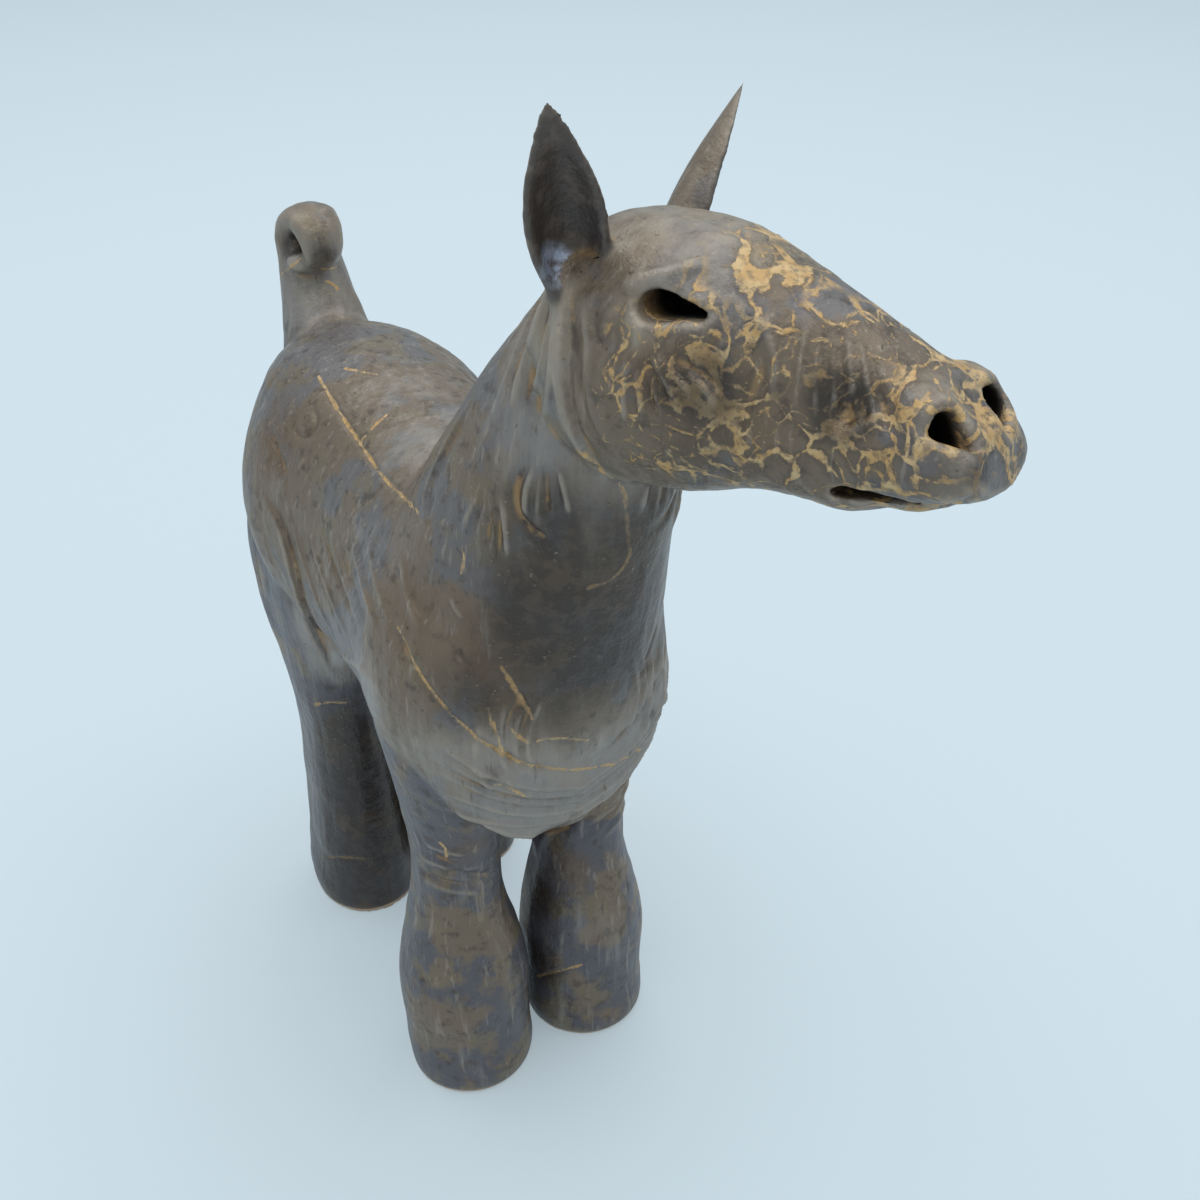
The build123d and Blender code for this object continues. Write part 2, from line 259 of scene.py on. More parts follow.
def joined_polygons():
    """Points and triangles of the pieces that the skin covers, with their openings plugged."""
    parts = []
    for name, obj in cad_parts.items():
        if name in INSIDE_NODES:
            continue
        mesh = obj.data
        mesh.calc_loop_triangles()
        triangles = np.empty(len(mesh.loop_triangles) * 3, np.int32)
        mesh.loop_triangles.foreach_get("vertices", triangles)
        parts.append((node_points(name), triangles.reshape(-1, 3)))
    parts += [eye_plug("left"), eye_plug("right"), *muzzle_plugs()]
    points = np.concatenate([part[0] for part in parts])
    starts = np.cumsum([0] + [len(part[0]) for part in parts[:-1]])
    triangles = np.concatenate([part[1] + start for part, start in zip(parts, starts)])
    return points.astype(np.float32), triangles.astype(np.uint32)


points, triangles = joined_polygons()
lattice = openvdb.createLinearTransform(voxelSize=VOXEL)
level_set = openvdb.FloatGrid.createLevelSetFromPolygons(
    points, triangles=triangles, transform=lattice, halfWidth=BAND_VOXELS
)
first_voxel, last_voxel = level_set.evalActiveVoxelBoundingBox()
field = np.empty([b - a + 1 for a, b in zip(first_voxel, last_voxel)], np.float32)
level_set.copyToArray(field, ijk=first_voxel)
field_origin = np.array(first_voxel) * VOXEL


def window(centre, reach):
    """The part of the volume around a place: its slices and the places of its voxels."""
    low = np.floor((centre - reach - field_origin) / VOXEL).astype(int)
    high = np.ceil((centre + reach - field_origin) / VOXEL).astype(int) + 1
    start = np.clip(low, 0, np.array(field.shape) - 1)
    stop = np.clip(high, 1, np.array(field.shape))
    slices = tuple(slice(a, b) for a, b in zip(start, stop))
    ticks = [field_origin[i] + VOXEL * np.arange(start[i], stop[i]) for i in range(3)]
    return slices, np.stack(np.meshgrid(*ticks, indexing="ij"), axis=-1)


def smoothstep(low, high, values):
    """A smooth change from 0 at low to 1 at high."""
    share = np.clip((values - low) / (high - low), 0, 1)
    return share * share * (3 - 2 * share)


def blurred(values, radius):
    """A volume averaged over a cube, twice, so that it rounds evenly."""
    for axis in (0, 1, 2, 0, 1, 2):
        pad = [(0, 0)] * 3
        pad[axis] = (radius + 1, radius)
        total = np.cumsum(np.pad(values, pad, mode="edge"), axis=axis, dtype=np.float64)
        size = values.shape[axis]
        ahead = np.take(total, range(2 * radius + 1, 2 * radius + 1 + size), axis=axis)
        behind = np.take(total, range(size), axis=axis)
        values = ((ahead - behind) / (2 * radius + 1)).astype(np.float32)
    return values


def fill_creases(centre, reach, radius):
    """Smooths clay into the hollow creases around a place, and takes none away."""
    slices, places = window(centre, reach)
    weight = 1 - smoothstep(0.55, 1.0, distance_from(centre, places) / reach)
    filled = np.minimum(field[slices], blurred(field[slices], max(1, round(radius / VOXEL))))
    field[slices] += (weight * (filled - field[slices])).astype(np.float32)


def round_off(centre, reach, radius, swell):
    """Rounds every edge around a place, proud or hollow, and fills it out by swell."""
    slices, places = window(centre, reach)
    weight = 1 - smoothstep(0.6, 1.0, distance_from(centre, places) / reach)
    rounded = blurred(field[slices], max(1, round(radius / VOXEL))) - swell
    field[slices] += (weight * (rounded - field[slices])).astype(np.float32)


fill_creases(body_place(*NECK_ROOT), 85 * MM, 6 * MM)
fill_creases(body_place(*TAIL_ROOT), 45 * MM, 6 * MM)
nape = head_place(-2 * MM, 0, 8 * MM)
for _ in range(7):
    fill_creases(nape, 30 * MM, 5 * MM)
for place in LEG_ROOTS:
    fill_creases(body_place(*place), 45 * MM, 2.5 * MM)


def carve(cutter, centre, reach):
    """Takes a cutter's inside away from the volume around a place."""
    slices, places = window(centre, reach)
    field[slices] = np.maximum(field[slices], -cutter(places)).astype(np.float32)


def teardrop(along, across, length, round_width, point_width):
    """Distance outside a teardrop, round at its low end and narrowing to its high end."""
    start = -(length - round_width) / 2
    end = (length - point_width) / 2
    share = np.clip((along - start) / (end - start), 0, 1)
    radius = round_width / 2 + share * (point_width - round_width) / 2
    return np.hypot(along - start - share * (end - start), across) - radius


def lid_middle(side):
    """The middle of one eyelid."""
    return node_points(f"{side}_eyelid").mean(axis=0)


def outward(side):
    """The way across the head on one side."""
    return head_left if side == "left" else -head_left


def eye_distance(places):
    """How far places lie outside the eyes' outline, seen across the head."""
    offset = places - head_place(EYE_ALONG, 0, EYE_LIFT)
    return teardrop(offset @ head_forward, offset @ head_up, EYE_LENGTH, EYE_ROUND, EYE_POINT)


def carve_eye(side):
    """A teardrop pit through one cheek."""
    middle = lid_middle(side)

    def cutter(places):
        return np.maximum(eye_distance(places), -EYE_DEPTH - (places - middle) @ outward(side))

    carve(cutter, middle, 25 * MM)


def nostril_frame(side):
    """The middle of one nostril, the way it faces, the way it points and the way across it."""
    spec = NOSTRILS[side]
    centre = head_place(spec["along"] * MM, spec["across"] * MM, spec["lift"] * MM)
    forward, sideways, upward = spec["facing"]
    way = unit(forward * head_forward + sideways * head_left + upward * head_up)
    midline = -math.copysign(1, spec["across"]) * head_left
    inward = unit(np.cross(np.cross(way, midline), way))
    downward = unit(np.cross(np.cross(way, -head_up), way))
    slant = math.radians(spec["slant"])
    point_way = unit(math.cos(slant) * inward + math.sin(slant) * downward)
    return centre, way, point_way, np.cross(way, point_way)


def nostril_distance(places, side):
    """How far places lie outside one nostril's outline, seen along the way that it faces."""
    centre, _, point_way, side_way = nostril_frame(side)
    offset = places - centre
    length = NOSTRILS[side]["length"] * MM
    return teardrop(offset @ point_way, offset @ side_way, length, NOSTRIL_ROUND, NOSTRIL_POINT)


def carve_nostril(side):
    """A teardrop pit back into the nose, its point turned in and down."""
    centre, way, _, _ = nostril_frame(side)

    def cutter(places):
        return np.maximum(nostril_distance(places, side), -NOSTRIL_DEPTH - (places - centre) @ way)

    carve(cutter, centre, 20 * MM)


def add_lump(centre, axes, radii):
    """Adds an ellipsoid of clay."""
    slices, places = window(centre, 20 * MM)
    shares = np.stack([(places - centre) @ way for way in axes], axis=-1) / radii
    lump = (np.linalg.norm(shares, axis=-1) - 1) * min(radii)
    field[slices] = np.minimum(field[slices], lump).astype(np.float32)


def add_wing(side):
    """Fills the nose out around one nostril."""
    across = math.copysign(WING_SPACING / 2, NOSTRILS[side]["across"])
    centre = head_place(HEAD_LENGTH - WING_BACK, across, WING_LIFT)
    add_lump(centre, (head_forward, head_left, head_up), WING_RADII)


def close_curl():
    """Joins the tip of the tail's roll to the stem, so that its eye is a round hole."""
    low, high = (vec(corner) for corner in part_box("tail"))
    middle = np.array((low[0] + CURL_FROM_BACK, (low[1] + high[1]) / 2, high[2] - CURL_FROM_TOP))
    add_lump(middle + CURL_BRIDGE_PLACE, np.eye(3), CURL_BRIDGE_RADII)
    fill_creases(middle + 1.5 * CURL_BRIDGE_PLACE, 12 * MM, 2 * MM)


def sampled(places):
    """The volume's value at any places."""
    scaled = (places - field_origin) / VOXEL
    base = np.clip(np.floor(scaled).astype(int), 0, np.array(field.shape) - 2)
    share = scaled - base
    total = np.zeros(places.shape[:-1])
    for corner in np.ndindex(2, 2, 2):
        weight = np.prod(np.where(corner, share, 1 - share), axis=-1)
        total += weight * field[tuple(np.moveaxis(base + corner, -1, 0))]
    return total


def bend_muzzle():
    """Leans the end of the nose forwards at its foot, and lifts the lower jaw to meet it."""
    middle = head_place(HEAD_LENGTH - 15 * MM, 0, -4 * MM)
    slices, places = window(middle, 55 * MM)
    along = (places - head_origin) @ head_forward
    lift = (places - head_origin) @ head_up
    lean = np.clip(-NOSE_LEAN * (lift - NOSE_PIVOT), -NOSE_MOST_BACK, NOSE_MOST_AHEAD)
    lean = lean * smoothstep(NOSE_LEAN_FROM, NOSE_LEAN_FULL, along)
    forward_share = np.clip(1 + (along - HEAD_LENGTH) / JAW_RISE_LENGTH, 0, 1.1)
    notch = JAW_NOTCH * np.exp(-(((along - JAW_NOTCH_ALONG) / JAW_NOTCH_WIDTH) ** 2))
    rise = (JAW_RISE * forward_share ** JAW_RISE_POWER + notch) * smoothstep(0, -JAW_DEPTH, lift)
    shift = lean[..., None] * head_forward + rise[..., None] * head_up
    field[slices] = sampled(places - shift).astype(np.float32)


mouth_corner = head_place(HEAD_LENGTH - MOUTH_LENGTH, 0, -MOUTH_DROP)


def mouth_line(places):
    """How far places lie along the mouth from its corner, and above its line, which rises forwards."""
    offset = places - head_place(HEAD_LENGTH - MOUTH_LENGTH, 0, -MOUTH_DROP + MOUTH_LIFT)
    along = offset @ head_forward
    rise = MOUTH_RISE * np.clip(along / MOUTH_LENGTH, 0, 1.2) ** MOUTH_RISE_POWER
    return along, offset @ head_up - rise


def mouth_gap(along):
    """How far the lips are apart, from the corner of the mouth forwards."""
    share = np.clip(along / MOUTH_LENGTH, 0, 1)
    opening = np.sqrt(np.minimum(share / MOUTH_OPENS_IN, 1))
    return MOUTH_GAP * opening * np.maximum(1 - share / MOUTH_CLOSED_AT, 0)


def carve_mouth():
    """The gap between the lips, from both cheeks in to a tongue of clay."""
    def cutter(places):
        along, above = mouth_line(places)
        half = mouth_gap(along) / 2
        across = np.abs((places - mouth_corner) @ head_left)
        return np.maximum.reduce([np.abs(above - half) - half, -along, MOUTH_CORE - across])

    carve(cutter, mouth_corner, 45 * MM)


def carve_saddle():
    """A shallow dip over the end of the nose, between the nostrils."""
    centre = head_place(HEAD_LENGTH + SADDLE_AHEAD, 0, SADDLE_LIFT)

    def cutter(places):
        return distance_from(centre, places) - SADDLE_RADIUS

    carve(cutter, centre, SADDLE_RADIUS)


def thicken_lip():
    """Swells the lower lip and the chin, below the line of the mouth."""
    slices, places = window(mouth_corner, 50 * MM)
    along, above = mouth_line(places)
    weight = smoothstep(-8 * MM, 0, along) * smoothstep(1 * MM, -1 * MM, above)
    field[slices] -= (LIP_SWELL * weight).astype(np.float32)


def ear_root(side):
    """The middle of the foot of one ear."""
    ear = node_points(f"{side}_ear")
    heights = ear @ head_up
    return ear[heights < heights.min() + 9 * MM].mean(axis=0)


for side in SIDES:
    add_wing(side)
    nostril = nostril_frame(side)[0] - 6 * MM * head_forward
    for _ in range(6):
        fill_creases(nostril, 24 * MM, 3 * MM)
        fill_creases(lid_middle(side), 18 * MM, 2 * MM)
        fill_creases(ear_root(side), 13 * MM, 2 * MM)
    round_off(lid_middle(side), 17 * MM, 2 * MM, 0.3 * MM)
close_curl()
carve_saddle()
round_off(head_place(HEAD_LENGTH, 0, 0), 28 * MM, 2.2 * MM, 0.9 * MM)
bend_muzzle()
for side in SIDES:
    behind_wing = head_place(HEAD_LENGTH - WING_REACH, 0, WING_LIFT) + 14 * MM * outward(side)
    for _ in range(3):
        fill_creases(behind_wing, 18 * MM, 4 * MM)
    carve_eye(side)
    carve_nostril(side)
thicken_lip()
carve_mouth()

clay = openvdb.FloatGrid(level_set.background)
clay.copyFromArray(field, ijk=first_voxel)
clay.transform = lattice
skin, quads = clay.convertToQuads(isovalue=0.0)
skin = skin.astype(float)
quads = quads.astype(int)


# Working on the skin's points

edges = np.unique(np.sort(np.concatenate([quads[:, [i, (i + 1) % 4]] for i in range(4)]), axis=1), axis=0)
edge_from = np.concatenate([edges[:, 0], edges[:, 1]])
edge_to = np.concatenate([edges[:, 1], edges[:, 0]])
neighbour_count = np.bincount(edge_from, minlength=len(skin)).astype(float)


def neighbour_mean(values):
    """Each point's mean of its neighbours' values."""
    columns = values.reshape(len(values), -1)
    sums = [np.bincount(edge_from, weights=column[edge_to], minlength=len(values)) for column in columns.T]
    return (np.stack(sums, axis=1) / neighbour_count[:, None]).reshape(values.shape)


def smoothed(values, rounds):
    """Values evened out over the skin, round by round."""
    for _ in range(rounds):
        values = (values + neighbour_mean(values)) / 2
    return values


def skin_normals(points):
    """The way each point of the skin faces."""
    facing = np.cross(points[quads[:, 2]] - points[quads[:, 0]], points[quads[:, 3]] - points[quads[:, 1]])
    total = np.zeros_like(points)
    for corner in range(4):
        for axis in range(3):
            total[:, axis] += np.bincount(quads[:, corner], weights=facing[:, axis], minlength=len(points))
    return unit(total)


volume = np.einsum("ij,ij->i", skin[quads[:, 0]], np.cross(skin[quads[:, 1]], skin[quads[:, 2]])).sum()
if volume < 0:
    quads = quads[:, ::-1]
skin = smoothed(skin, 2)
facing = skin_normals(skin)


# Seams: which CAD piece each point of the skin belongs to

SEAM_REACH = 16 * MM
piece_names = [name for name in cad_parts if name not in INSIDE_NODES]
nearest = np.full(len(skin), SEAM_REACH)
owner = np.zeros(len(skin), int)
graph = bpy.context.evaluated_depsgraph_get()
for index, name in enumerate(piece_names):
    low, high = (vec(corner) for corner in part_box(name))
    near = np.flatnonzero(((skin > low - SEAM_REACH) & (skin < high + SEAM_REACH)).all(axis=1))
    tree = BVHTree.FromObject(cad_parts[name], graph)
    for i in near:
        hit = tree.find_nearest(skin[i], nearest[i])
        if hit[0] is not None and hit[3] < nearest[i]:
            nearest[i] = hit[3]
            owner[i] = index


# Relief: folds, pleats and seams, as lines over the photograph, in its pixels

BREAST_SEAM = ((398, 628), (414, 664), (440, 706), (473, 737), (503, 758), (537, 769), (576, 772))
BACK_SEAM = ((318, 376), (334, 405), (359, 443), (381, 476), (400, 494), (419, 513))
BACK_CUT = ((359, 441), (372, 426), (386, 414))
BREAST_CUTS = (
    ((501, 667), (516, 692), (532, 718)),
    ((487, 709), (497, 735), (504, 756)),
)
LEG_CUTS = (
    ((316, 704), (330, 703), (346, 703)),
    ((322, 858), (342, 857), (364, 859)),
    ((537, 976), (558, 972), (581, 965)),
)
# Each has a kind, a height before RELIEF and a width in millimetres, and the part that it is mirrored on
LINES = (
    ("fold", 1.1, 3.0, "head", (
        (562, 268), (569, 294), (565, 335), (563, 373), (566, 400), (579, 442), (603, 472),
    )),
    ("groove", 0.8, 1.8, "head", ((577, 300), (574, 345), (577, 400), (591, 438), (614, 465))),
    ("ridge", 0.6, 1.8, "head", ((672, 374), (698, 384), (715, 401), (711, 420))),
    ("groove", 0.8, 1.7, "head", ((604, 296), (592, 314), (594, 338), (612, 352))),
    ("ridge", 1.0, 2.4, "head", ((604, 290), (630, 281), (656, 275), (690, 267), (722, 262))),
    ("groove", 1.3, 5.0, "head", ((838, 398), (846, 412), (852, 428))),
    ("groove", 0.6, 1.6, "head", ((880, 378), (890, 408), (895, 442))),
    ("groove", 0.6, 1.8, "head", ((774, 342), (750, 395), (730, 440), (719, 470))),
    ("ridge", 0.7, 2.0, "head", ((740, 300), (768, 330), (776, 370), (770, 410))),
    ("groove", 0.6, 1.0, "head", ((872, 497), (905, 506), (935, 511), (962, 502), (985, 490))),
    ("groove", 1.0, 1.8, "body", ((540, 452), (517, 476), (513, 505), (528, 531), (549, 540), (566, 528))),
    ("ridge", 0.8, 2.0, "body", ((552, 286), (535, 332), (520, 385), (508, 430))),
    ("fold", 0.5, 3.0, "body", ((480, 390), (462, 420), (443, 454), (429, 485), (426, 512), (433, 545))),
    ("groove", 0.7, 1.3, "body", BREAST_SEAM),
    ("groove", 0.6, 1.1, "body", BREAST_CUTS[0]),
    ("groove", 0.6, 1.1, "body", BREAST_CUTS[1]),
    ("groove", 0.6, 1.0, "body", (*BACK_SEAM, (428, 528))),
    ("groove", 0.4, 0.9, "none", BACK_CUT),
    ("fold", 0.9, 4.0, "body", ((257, 483), (282, 525), (295, 573), (309, 621), (338, 682))),
    ("ridge", 0.8, 2.0, "body", ((316, 635), (340, 652), (364, 668), (392, 700))),
    ("groove", 0.7, 1.8, "body", ((388, 621), (402, 648), (412, 668))),
    ("groove", 0.7, 1.6, "body", ((268, 425), (284, 470), (290, 500))),
    ("ridge", 0.7, 2.0, "body", ((400, 548), (408, 600), (424, 640))),
    ("groove", 0.7, 1.4, "body", ((456, 640), (462, 662), (480, 672))),
    ("ridge", 0.6, 1.4, "none", ((449, 590), (457, 612), (471, 622))),
    ("groove", 0.6, 1.2, "body", ((310, 402), (318, 418), (312, 434), (298, 438), (294, 424), (302, 408))),
    ("fold", 1.6, 3.0, "none", (
        (609, 801), (590, 815), (569, 825), (537, 832), (508, 831),
        (490, 823), (470, 815), (445, 811), (421, 802),
    )),
    ("groove", 0.9, 2.2, "body", ((413, 833), (432, 853), (451, 869), (474, 878), (502, 874))),
    ("groove", 1.2, 1.6, "body", ((452, 812), (470, 819), (488, 821))),
    ("groove", 0.6, 2.0, "body", ((418, 960), (424, 985), (430, 1000))),
    ("groove", 0.5, 1.0, "body", LEG_CUTS[0]),
    ("groove", 0.4, 1.0, "body", LEG_CUTS[1]),
    ("groove", 0.4, 1.0, "body", LEG_CUTS[2]),
)
# Pleats and striations, ridge and groove by turns from one line over to another: how many, then as above
FANS = (
    (12, 0.72, 1.1, "head", ((632, 350), (624, 384), (626, 432)), ((650, 345), (692, 370), (730, 398))),
    (11, 0.55, 1.2, "head", ((812, 312), (800, 360), (794, 428)), ((866, 326), (882, 368), (897, 442))),
    (7, 0.75, 1.2, "body", ((487, 488), (472, 508), (461, 536)), ((500, 495), (505, 530), (506, 566))),
    (7, 0.75, 1.1, "body", ((537, 458), (527, 490), (523, 524)), ((555, 462), (565, 494), (568, 522))),
    (7, 0.6, 1.4, "body", ((546, 278), (516, 350), (490, 425)), ((557, 300), (552, 370), (538, 446))),
    (9, 0.6, 1.5, "body", ((290, 510), (304, 560), (336, 640)), ((366, 530), (374, 580), (398, 650))),
    (9, 0.7, 1.3, "body", ((420, 722), (462, 764), (530, 792), (600, 784)),
     ((424, 800), (468, 812), (530, 827), (588, 812))),
    (7, 0.6, 1.3, "body", ((628, 650), (640, 690), (628, 745)), ((660, 650), (664, 690), (650, 735))),
    (5, 0.6, 1.4, "body", ((420, 842), (440, 850), (470, 856)), ((416, 874), (444, 892), (486, 894))),
)
FAN_VARIATION = (1.0, 0.55, 0.85)
FAN_UNEVENNESS = 0.3
FAN_TURN = 2.4
GOLD_LINES = (
    (*BREAST_SEAM, (613, 764), (640, 750)),
    BACK_SEAM,
    BACK_CUT,
    *BREAST_CUTS,
    *LEG_CUTS,
    ((581, 447), (602, 470), (626, 486), (627, 532), (631, 556), (612, 580), (588, 587)),
    ((510, 729), (526, 744), (554, 738), (588, 741)),
    ((495, 784), (514, 790), (529, 799)),
    ((282, 274), (292, 266), (300, 259)),
    ((316, 267), (327, 270), (336, 267)),
    ((325, 281), (334, 284), (338, 290)),
    ((462, 548), (464, 562), (460, 574)),
    ((345, 368), (364, 371), (376, 373)),
    ((440, 843), (448, 850), (446, 858)),
)
LINE_STEP = 3.0
POINT_STEP = 0.8 * MM
LONGEST_GAP = 14 * MM
GOLD_REACH = 12 * MM
RELIEF = 1.6
# Unevenness left by the hand: height in millimetres, length in millimetres and seed
HAND_MARKS = ((0.55, 34, 1), (0.3, 15, 2), (0.14, 6.5, 3))
STRIATIONS = ((0.16, 3.2, 4), (0.1, 2.0, 5))
STRIATION_STRETCH = np.array((1.0, 1.0, 0.16))
EAR_MARKS = 0.35

skin_tree = BVHTree.FromPolygons(skin.tolist(), quads.tolist())
view = look.to_track_quat("-Z", "Y")


def rounded_line(corners):
    """A line with its corners cut twice, as points a few pixels apart."""
    line = np.array(corners, float)
    for _ in range(2):
        inner = np.empty((2 * (len(line) - 1), 2))
        inner[0::2] = 0.75 * line[:-1] + 0.25 * line[1:]
        inner[1::2] = 0.25 * line[:-1] + 0.75 * line[1:]
        line = np.concatenate([line[:1], inner, line[-1:]])
    lengths = np.concatenate([[0], np.cumsum(np.linalg.norm(np.diff(line, axis=0), axis=1))])
    stops = np.linspace(0, lengths[-1], max(3, int(lengths[-1] / LINE_STEP)))
    return np.stack([np.interp(stops, lengths, line[:, i]) for i in range(2)], axis=1)


def on_skin(pixels):
    """Where pixels of the photograph fall on the skin."""
    hits = []
    for x, y in pixels:
        offset = Vector(((x - PHOTO_SIZE / 2) / FOCAL_PIXELS, (PHOTO_SIZE / 2 - y) / FOCAL_PIXELS, -1))
        hit = skin_tree.ray_cast(eye_point, (view @ offset).normalized())[0]
        if hit is not None:
            hits.append(tuple(hit))
    return np.array(hits)


def mirrored(line, part):
    """The same line on the other side of the head or the body, laid on the skin there."""
    if part == "head":
        middle, way = head_origin, head_left
    else:
        middle, way = feet, np.array((0.0, 1.0, 0.0))
    flipped = line - 2 * ((line - middle) @ way)[:, None] * way
    return np.array([tuple(skin_tree.find_nearest(point)[0]) for point in flipped])


def filled(line):
    """A line with more points where they lie far apart, but not where it jumps from one form to another."""
    runs = []
    for start, end in zip(line[:-1], line[1:]):
        gap = np.linalg.norm(end - start)
        count = max(1, round(gap / POINT_STEP)) if gap < LONGEST_GAP else 1
        runs.append(start + np.arange(count)[:, None] / count * (end - start))
    return np.concatenate([*runs, line[-1:]])


def near_line(line, reach):
    """The skin points near a line: which they are, how far, on which side and how far from its ends."""
    line = filled(line)
    near = np.flatnonzero(((skin > line.min(axis=0) - reach) & (skin < line.max(axis=0) + reach)).all(axis=1))
    gaps = skin[near][:, None, :] - line[None, :, :]
    distances = np.linalg.norm(gaps, axis=2)
    closest = distances.argmin(axis=1)
    distance = distances[np.arange(len(near)), closest]
    tangents = unit(np.gradient(line, axis=0))[closest]
    offsets = gaps[np.arange(len(near)), closest]
    side = np.einsum("ij,ij->i", np.cross(tangents, facing[near]), offsets)
    share = closest / (len(line) - 1)
    keep = distance < reach
    return near[keep], distance[keep], side[keep], np.minimum(share, 1 - share)[keep]


def press(line, kind, height, width):
    """Raises or presses the skin along a line."""
    reach = 4 * width
    near, distance, side, from_end = near_line(line, reach)
    profile = np.exp(-((distance / width) ** 2))
    if kind == "groove":
        profile = -profile
    if kind == "fold":
        lip = np.exp(-np.maximum(distance - 0.5 * width, 0) / (1.3 * width))
        profile = np.where(side > 0, lip, -0.7 * profile) * smoothstep(0, 0.6 * width, distance + 0.2 * width)
    fade = smoothstep(0, 0.3, from_end) * (1 - smoothstep(0.6 * reach, reach, distance))
    lift[near] += RELIEF * height * profile * fade


def press_both(line, kind, height, width, part):
    """Presses a line and its mirror image on the part, if it has one."""
    press(line, kind, height, width)
    if part != "none":
        press(mirrored(line, part)[::-1], kind, height, width)


def lumps(places, wavelength, seed):
    """Smooth noise between -1 and 1, the same on every run."""
    scaled = places / wavelength + 37.7 * seed
    cell = np.floor(scaled).astype(np.int64)
    share = scaled - cell
    share = share * share * (3 - 2 * share)
    total = np.zeros(len(places))
    for corner in np.ndindex(2, 2, 2):
        key = (cell + corner) @ np.array((73856093, 19349663, 83492791))
        key = (key ^ (key >> 13)) * 1274126177 & 0x7FFFFFFF
        value = ((key ^ (key >> 16)) & 0xFFFF) / 32767.5 - 1
        weight = np.prod(np.where(corner, share, 1 - share), axis=1)
        total += weight * value
    return total


lift = np.zeros(len(skin))
gold_distance = np.full(len(skin), GOLD_REACH)
for kind, height, width, part, corners in LINES:
    line = on_skin(rounded_line(corners))
    press_both(line, kind, height * MM, width * MM, part)
for count, height, width, part, first, last in FANS:
    for i in range(count):
        share = (i + FAN_UNEVENNESS * math.sin(FAN_TURN * i)) / (count - 1)
        line = on_skin(rounded_line((1 - share) * np.array(first) + share * np.array(last)))
        kind = ("ridge", "groove")[i % 2]
        press_both(line, kind, FAN_VARIATION[i % 3] * height * MM, width * MM, part)
for corners in GOLD_LINES:
    near, distance, _, _ = near_line(on_skin(rounded_line(corners)), GOLD_REACH)
    gold_distance[near] = np.minimum(gold_distance[near], distance)

hand_marks = sum(height * lumps(skin, length * MM, seed) for height, length, seed in HAND_MARKS)
drawn = skin * STRIATION_STRETCH
striations = sum(height * lumps(drawn, length * MM, seed) for height, length, seed in STRIATIONS)
ground_free = smoothstep(0.5 * MM, 8 * MM, skin[:, 2])
on_ear = np.isin(owner, [piece_names.index(name) for name in ("left_ear", "right_ear")])
depth_in = np.zeros(len(skin))
rim = np.zeros(len(skin))


def mark_opening(middle, reach, outside, depth, height, beyond, width):
    """Notes the raised rim round an opening, and how deep the points inside it lie."""
    near = distance_from(middle, skin) < reach * MM
    raised = height * MM * np.exp(-(((outside - beyond * MM) / (width * MM)) ** 2))
    rim[:] += np.where(near, raised, 0)
    depth_in[:] = np.maximum(depth_in, np.where(near & (outside < PIT_EDGE), depth, 0))


for side in SIDES:
    middle = lid_middle(side)
    depth = (middle - skin) @ outward(side)
    mark_opening(middle, 22, eye_distance(skin), depth, height=0.3, beyond=1.6, width=1.5)
    middle, way, _, _ = nostril_frame(side)
    depth = NOSTRIL_PIT_FACTOR * ((middle - skin) @ way + NOSTRIL_PIT_START)
    mark_opening(middle, 20, nostril_distance(skin, side), depth, height=0.4, beyond=2.0, width=1.7)
in_pit = smoothstep(PIT_FROM, PIT_FULL, depth_in)
lift += rim * (1 - in_pit)
unevenness = hand_marks * MM * np.where(on_ear, EAR_MARKS, 1) + striations * MM * np.where(on_ear, 0, 1)
lift += unevenness * (1 - in_pit)
skin = np.where(on_ear[:, None], smoothed(skin, 10), skin)
at_rim = smoothed(np.clip((rim > 0.1 * MM) + (depth_in > 0), 0, 1).astype(float), 2)[:, None]
skin = skin + at_rim * (smoothed(skin, 5) - skin)
skin = skin + (lift * ground_free)[:, None] * facing
facing = skin_normals(skin)
hollow = smoothed(np.einsum("ij,ij->i", smoothed(skin, 30) - skin, facing), 1)


# Colour zones, painted shade and painted highlights among them: soft spots over the photograph, in its pixels

# Each has the part that it is mirrored on, its place, a radius in millimetres and a strength
# Dark glaze, and painted shade where noted.
DARK_AND_SHADE_SPOTS = (
    ("body", 350, 790, 46, 0.95),
    ("body", 360, 860, 40, 0.85),
    ("body", 590, 640, 34, 0.75),
    ("body", 640, 600, 26, 0.8),
    ("body", 640, 530, 26, 0.6),
    ("body", 560, 690, 26, 0.5),
    ("body", 470, 690, 18, 0.45),
    # Painted shade on the inner side of a leg.
    ("none", 535, 890, 14, 0.6),
    ("none", 535, 960, 16, 0.6),
    ("head", 842, 405, 9, 0.9),
    ("head", 704, 390, 10, 0.75),
    ("head", 672, 392, 9, 0.5),
    ("head", 975, 482, 9, 0.6),
    ("head", 590, 330, 10, 0.35),
    ("head", 700, 455, 12, 0.4),
    # Painted shade inside the hole of the tail's roll and under the roll.
    ("none", 298, 247, 6, 1.0),
    ("none", 326, 260, 6, 0.9),
)
